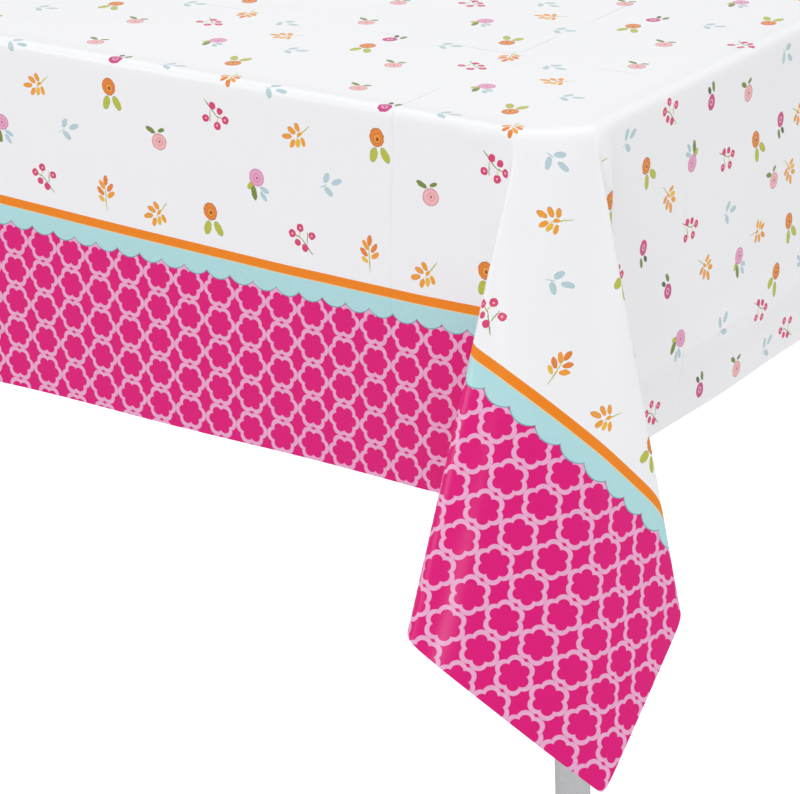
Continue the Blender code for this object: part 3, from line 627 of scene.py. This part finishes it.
# ---------------------------------------------------------------- the printed film
# In millimetres, along the cover from its middle and down from the table's edge or from the stripe.
STRIPE_TOP = 132.8
STRIPE_WIDTH = 7.4
SCALLOP_FROM, SCALLOP_DEPTH = 19.0, 5.6
SCALLOP_PITCH, FIRST_CUSP = 20.93, 513.2
FLOWER_PITCH = (28.2, 26.2)
FIRST_FLOWER = (531.5, 33.2)
PETAL_INNER, PETAL_OUTER = (6.8, 4.15), (8.0, 6.2)  # a petal's middle from the flower's, and its radius


def film_material():
    """The glossy film with its whole print: sprigs on white, stripe, scalloped band and lattice."""
    made, net, shader = material("printed_film")
    uv = net.add("ShaderNodeUVMap", uv_map="print").outputs[0]
    split = net.add("ShaderNodeSeparateXYZ", uv).outputs
    x = net.math("MULTIPLY", split[0], 1000.0)
    y = net.math("MULTIPLY", split[1], 1000.0)
    edge = HALF_WIDTH * 1000
    below = net.math("SUBTRACT", net.math("ABSOLUTE", y), edge + STRIPE_TOP)
    q = net.math("SUBTRACT", net.math("MULTIPLY", y, -1.0), edge)

    watercolour = net.noise(uv, 260.0, 3.0)
    offset = net.add("ShaderNodeTexNoise", uv)
    offset.inputs["Scale"].default_value = 420.0
    wobble = net.add(
        "ShaderNodeVectorMath", offset.outputs["Color"], (0.5, 0.5, 0.5), operation="SUBTRACT"
    ).outputs[0]
    wobble = net.add("ShaderNodeVectorMath", wobble, (1.3, 1.3, 0.0), operation="MULTIPLY").outputs[0]
    painted, covered = sprigs(net, x, q, wobble)
    painted = net.mix(net.math("MULTIPLY", watercolour, 0.06), painted, colour(255, 240, 214))
    on_ground = net.step(below, -1.0, -3.0)
    covered = net.math("MULTIPLY", covered, on_ground)
    white = net.mix(net.noise(uv, 3.0), colour(246, 247, 250), colour(251, 251, 253))
    ground = net.mix(net.math("MULTIPLY", covered, 0.985), white, painted)

    column = net.math("DIVIDE", net.math("SUBTRACT", x, FIRST_FLOWER[0]), FLOWER_PITCH[0])
    row = net.math("DIVIDE", net.math("SUBTRACT", below, FIRST_FLOWER[1]), FLOWER_PITCH[1])
    across = net.math("MULTIPLY", net.from_nearest(column), FLOWER_PITCH[0])
    down = net.math("MULTIPLY", net.from_nearest(row), FLOWER_PITCH[1])
    radius = net.length(across, down)
    sixth = net.math("DIVIDE", net.math("ARCTAN2", down, across), math.pi / 3)
    turned = net.math("MULTIPLY", net.from_nearest(sixth), math.pi / 3)
    outward = net.math("MULTIPLY", radius, net.math("COSINE", turned))
    aside = net.math("MULTIPLY", radius, net.math("SINE", turned))

    def petal_edge(reach, size):
        """Distance outside a flower of six round petals, with its middle filled."""
        gone = net.math("SUBTRACT", outward, reach)
        gap = net.length(gone, aside)
        return net.math("MINIMUM", net.math("SUBTRACT", gap, size), net.math("SUBTRACT", radius, reach))

    inner, outer = petal_edge(*PETAL_INNER), petal_edge(*PETAL_OUTER)
    line = net.math("MULTIPLY", net.step(inner, -0.3, 0.3), net.step(outer, 0.3, -0.3))
    stretched = net.add("ShaderNodeVectorMath", uv, (1.0, 6.0, 1.0), operation="MULTIPLY").outputs[0]
    weave = net.noise(stretched, 190.0, 3.0)
    pink = net.mix(weave, colour(222, 6, 118), colour(232, 14, 130))
    pale = net.mix(watercolour, colour(234, 158, 204), colour(244, 192, 222))
    lattice = net.mix(line, pink, pale)

    turn = net.math("MULTIPLY", net.math("DIVIDE", net.math("SUBTRACT", x, FIRST_CUSP), SCALLOP_PITCH), math.pi)
    arc = net.math("POWER", net.math("ABSOLUTE", net.math("SINE", turn)), 0.65)
    scallop_edge = net.math("ADD", SCALLOP_FROM, net.math("MULTIPLY", arc, SCALLOP_DEPTH))
    scallop = net.math("SUBTRACT", below, scallop_edge)
    aqua = net.mix(watercolour, colour(174, 222, 226), colour(188, 230, 234))
    outline = net.math("MULTIPLY", net.step(scallop, -1.1, -0.5), net.step(scallop, 0.5, 0.0))
    ribbon = net.mix(outline, aqua, colour(96, 168, 176))
    border = net.mix(net.step(scallop, -0.15, 0.15), ribbon, lattice)
    orange = net.mix(weave, colour(244, 132, 16), colour(250, 142, 26))
    border = net.mix(net.step(below, STRIPE_WIDTH + 0.3, STRIPE_WIDTH - 0.3), border, orange)
    hair = net.math(
        "MULTIPLY", net.step(below, STRIPE_WIDTH - 0.4, STRIPE_WIDTH - 0.1),
        net.step(below, STRIPE_WIDTH + 0.7, STRIPE_WIDTH + 0.3),
    )
    border = net.mix(net.math("MULTIPLY", hair, 0.55), border, colour(250, 236, 170))
    printed = net.mix(net.step(below, -0.25, 0.25), ground, border)

    back = net.add("ShaderNodeNewGeometry").outputs["Backfacing"]
    printed = net.mix(net.math("MULTIPLY", back, 0.72), printed, colour(244, 240, 244))
    net.feed(shader.inputs["Base Color"], printed)
    shader.inputs["Roughness"].default_value = 0.24
    shader.inputs["IOR"].default_value = 1.47
    shader.inputs["Specular IOR Level"].default_value = 0.30

    def crease(value, at, width):
        """1 on a pressed line, fading to 0 at width from it."""
        return net.step(net.math("ABSOLUTE", net.math("SUBTRACT", value, at)), width, 0.0)

    waviness = net.math("MULTIPLY", net.noise(uv, 11.0, 2.0), 1.1)
    fine = net.math("MULTIPLY", net.noise(uv, 700.0, 2.0), 0.010)
    lines = crease(x, FOLD_LINES[0] * 1000, 1.6)
    for line in FOLD_LINES[1:]:
        lines = net.math("ADD", lines, crease(x, line * 1000, 1.6))
    lines = net.math("ADD", lines, crease(net.math("ABSOLUTE", y), FOLD_LINE_ASIDE * 1000, 1.8))
    lines = net.math("ADD", lines, net.math("MULTIPLY", crease(x, 1012.0, 5.0), 1.2))
    patchy = net.step(net.noise(uv, 9.0, 1.0), 0.40, 0.62)
    pressed = net.math("MULTIPLY", net.math("MULTIPLY", lines, patchy), 0.5)
    height = net.math("ADD", pressed, net.math("ADD", waviness, fine))
    bump = net.add("ShaderNodeBump")
    bump.inputs["Strength"].default_value = 0.8
    bump.inputs["Distance"].default_value = 0.001
    net.feed(bump.inputs["Height"], height)
    net.feed(shader.inputs["Normal"], bump.outputs[0])
    return made


# ---------------------------------------------------------------- the table's finishes
def surface_relief_group():
    """A node group: coordinates and a scale in, a wear mask and a bumped normal out."""
    tree = bpy.data.node_groups.new("surface_relief", "ShaderNodeTree")
    tree.interface.new_socket("Place", in_out="INPUT", socket_type="NodeSocketVector")
    tree.interface.new_socket("Scale", in_out="INPUT", socket_type="NodeSocketFloat")
    tree.interface.new_socket("Height", in_out="INPUT", socket_type="NodeSocketFloat")
    tree.interface.new_socket("Wear", in_out="OUTPUT", socket_type="NodeSocketFloat")
    tree.interface.new_socket("Normal", in_out="OUTPUT", socket_type="NodeSocketVector")
    net = Net(tree)
    given = net.add("NodeGroupInput").outputs
    grain = net.add("ShaderNodeTexNoise", given[0])
    grain.inputs["Detail"].default_value = 6.0
    net.feed(grain.inputs["Scale"], given[1])
    broad = net.noise(given[0], 14.0, 3.0)
    bump = net.add("ShaderNodeBump")
    bump.inputs["Strength"].default_value = 1.0
    net.feed(bump.inputs["Distance"], given[2])
    net.feed(bump.inputs["Height"], grain.outputs[0])
    out = net.add("NodeGroupOutput")
    net.feed(out.inputs[0], net.math("MULTIPLY", broad, grain.outputs[0]))
    net.feed(out.inputs[1], bump.outputs[0])
    return tree


RELIEF = surface_relief_group()


def finish_material(name, dark, light, metallic, roughness, scale, height, stretch=(1, 1, 1)):
    """A finish between two colours, with grain of the given scale and a height in metres."""
    made, net, shader = material(name)
    place = net.add("ShaderNodeTexCoord").outputs["Object"]
    place = net.add("ShaderNodeVectorMath", place, stretch, operation="MULTIPLY").outputs[0]
    group = net.add("ShaderNodeGroup", node_tree=RELIEF)
    for socket, value in zip(group.inputs, (place, scale, height)):
        net.feed(socket, value)
    wear = net.step(group.outputs[0], 0.12, 0.42)
    net.feed(shader.inputs["Base Color"], net.mix(wear, dark, light))
    net.feed(shader.inputs["Roughness"], net.math("ADD", roughness - 0.06, net.math("MULTIPLY", wear, 0.14)))
    net.feed(shader.inputs["Normal"], group.outputs[1])
    shader.inputs["Metallic"].default_value = metallic
    return made


film = film_material()
FINISHES = {"film": film}
for name, dark, light, metallic, *rest in (
    ("laminate", (228, 228, 226), (239, 239, 236), 0, 0.45, 380, 0.00012, (1, 9, 1)),
    ("edging", (224, 224, 222), (236, 236, 233), 0, 0.4, 520, 0.00006),
    ("tube", (196, 198, 200), (212, 214, 215), 0.2, 0.38, 900, 0.00008),
    ("zinc", (168, 170, 168), (204, 206, 204), 1, 0.34, 160, 0.00008),
    ("bright", (186, 188, 190), (218, 220, 222), 1, 0.2, 600, 0.00004, (1, 1, 8)),
    ("knob", (22, 22, 24), (38, 38, 42), 0, 0.42, 1100, 0.00010),
    ("rubber", (28, 28, 28), (46, 45, 44), 0, 0.75, 700, 0.00022),
):
    FINISHES[name] = finish_material(name, colour(*dark), colour(*light), metallic, *rest)
FINISH_OF = (
    ("tablecloth", "film"), ("tabletop_edging", "edging"), ("tabletop", "laminate"), ("leg", "tube"),
    ("cross_rail", "tube"), ("foot_cap", "rubber"), ("hinge_bracket", "zinc"), ("lock_knob", "knob"),
    ("lock_pin", "bright"), ("lock_sleeve", "zinc"), ("pivot", "bright"), ("stop_pin", "bright"),
    ("bracket", "bright"),
)
for name, node in nodes.items():
    finish = next(chosen for start, chosen in FINISH_OF if name.startswith(start))
    if not node.material_slots:
        node.data.materials.append(None)
    for slot in node.material_slots:
        slot.material = FINISHES[finish]
cover.data.materials.clear()
cover.data.materials.append(film)

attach(cover, "tablecloth")
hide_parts("tablecloth")


# ---------------------------------------------------------------- stage, light and camera
def make_floor():
    """A wide white floor that shines a little, so that it reads as a pure white ground."""
    mesh = bpy.data.meshes.new("floor")
    far = 60.0
    mesh.from_pydata([(-far, -far, 0), (far, -far, 0), (far, far, 0), (-far, far, 0)], [], [(0, 1, 2, 3)])
    floor = bpy.data.objects.new("floor", mesh)
    bpy.context.scene.collection.objects.link(floor)
    made, net, shader = material("floor_white")
    place = net.add("ShaderNodeTexCoord").outputs["Object"]
    painted = net.mix(net.noise(place, 2.0), colour(214, 214, 215), colour(220, 220, 220))
    net.feed(shader.inputs["Base Color"], painted)
    shader.inputs["Roughness"].default_value = 0.9
    shader.inputs["Emission Color"].default_value = (1, 1, 1, 1)
    seen = net.add("ShaderNodeLightPath").outputs["Is Camera Ray"]
    net.feed(shader.inputs["Emission Strength"], net.math("MULTIPLY_ADD", seen, 0.62, 0.08))
    mesh.materials.append(made)


def soft_light(name, place, aim, size, power):
    """A round white area light at place, turned towards aim."""
    light = bpy.data.lights.new(name, "AREA")
    light.shape, light.size, light.energy = "DISK", size, power
    lamp = bpy.data.objects.new(name, light)
    bpy.context.scene.collection.objects.link(lamp)
    lamp.location = place
    offset = np.array(aim) - np.array(place)
    flat = math.hypot(offset[0], offset[1])
    lamp.rotation_euler = (math.atan2(flat, -offset[2]), 0, math.atan2(offset[1], offset[0]) - math.pi / 2)


make_floor()
soft_light("overhead", (0.3, -0.2, 3.4), (0.3, -0.2, 0.7), 3.2, 24)
soft_light("front", (-1.9, -3.0, 2.1), (0.4, -0.4, 0.55), 1.3, 17)
soft_light("side", (3.6, 0.6, 1.7), (0.8, 0.0, 0.5), 1.8, 14)
soft_light("window_strip", (1.50, -3.35, 1.30), (0.84, -0.5, 0.5), 0.5, 10)
world = bpy.data.worlds.new("soft_room")
bpy.context.scene.world = world
world.use_nodes = True
background = world.node_tree.nodes["Background"]
background.inputs["Color"].default_value = (1, 1, 1, 1)
background.inputs["Strength"].default_value = 0.68

lens = bpy.data.cameras.new("camera")
lens.lens, lens.sensor_width = 138.30, 36.0
camera = bpy.data.objects.new("camera", lens)
bpy.context.scene.collection.objects.link(camera)
camera.location = (1.78715, -2.17318, 1.36299)
camera.rotation_euler = (math.radians(90 - 21.5841), 0, math.radians(32.3907))
bpy.context.scene.camera = camera
bpy.context.scene.view_settings.view_transform = "Standard"
